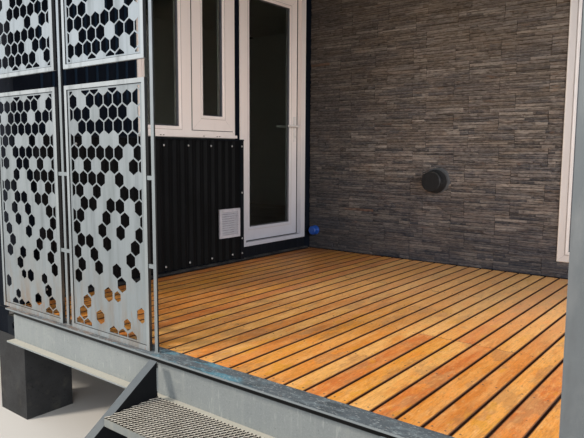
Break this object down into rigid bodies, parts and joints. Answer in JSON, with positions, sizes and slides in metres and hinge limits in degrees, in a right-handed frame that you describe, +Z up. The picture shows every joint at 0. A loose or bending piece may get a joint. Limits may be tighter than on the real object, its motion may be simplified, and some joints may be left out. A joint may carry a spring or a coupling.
{
  "type": "shipping container cabin",
  "caption": "Cabin made of steel container modules in an L round a timber deck, with a stone-faced wall, glazed door, window, hexagon-cut screens and a short steel stair.",
  "frame": {"origin": "centre of the bounding box at ground level", "axes": "+Z up, +X along the front beam to the right seen from the stair, +Y from the stair towards the back wall"},
  "size_m": [6.058, 6.3634, 3.386],
  "materials": {
    "pier_concrete": "rough cast",
    "casting_paint": "satin, worn",
    "frame_paint": "satin",
    "chassis_paint": "matt",
    "floor_ply": "sealed",
    "roof_paint": "satin",
    "wall_paint": "satin",
    "split_stone": "split face",
    "lining_board": "matt",
    "cladding_paint": "satin",
    "trim_paint": "satin",
    "vent_plastic": "matt",
    "white_frame": "satin",
    "clear_glass": "clear",
    "lever_white": "satin",
    "blind_slats": "matt",
    "flue_black": "matt",
    "inlet_blue": "satin",
    "beam_paint": "satin, dusty",
    "joist_paint": "matt",
    "deck_timber": "oiled",
    "post_paint": "satin, scuffed",
    "screen_paint": "satin",
    "stringer_paint": "satin, dusty",
    "tread_steel": "matt"
  },
  "bodies": {
    "cabin": {"piers": "pier_concrete", "corner_castings": "casting_paint", "corner_posts": "frame_paint", "bottom_rails": "frame_paint", "top_rails": "frame_paint", "cross_members": "chassis_paint", "floors": "floor_ply", "roof_panels": "roof_paint", "porch_roof_sheet": "roof_paint", "window_wall": "wall_paint", "door_surround_wall": "wall_paint", "front_wall": "wall_paint", "left_walls": "wall_paint", "back_wall": "wall_paint", "right_end_wall": "wall_paint", "porch_wall": "wall_paint", "stone_cladding": "split_stone", "inner_linings": "lining_board", "wall_cladding": "cladding_paint", "cladding_trims": "trim_paint", "vent_grille": "vent_plastic", "window_frames": "white_frame", "window_sashes": "white_frame", "door_jambs": "white_frame", "door_head_and_threshold": "white_frame", "glazing_frame": "white_frame", "window_glass": "clear_glass", "glazing_glass": "clear_glass", "glazing_blind": "blind_slats", "flue_cap": "flue_black", "wall_inlet": "inlet_blue", "deck_beams": "beam_paint", "porch_roof_beams": "beam_paint", "deck_joists": "joist_paint", "porch_purlins": "joist_paint", "deck_boards": "deck_timber", "porch_post": "post_paint", "screen_bars": "screen_paint", "lower_screens": "screen_paint", "upper_screens": "screen_paint", "stair_stringers": "stringer_paint", "stair_treads": "tread_steel"},
    "door": {"door_leaf": "white_frame", "door_glass": "clear_glass", "door_handles": "lever_white"}
  },
  "joints": [
    {"name": "door_hinge", "type": "hinge", "parent": "cabin", "child": "door", "pos_m": [-0.1593, -0.2003, 1.9], "axis": [0, 0, 1], "range_deg": [0, 90]}
  ]
}
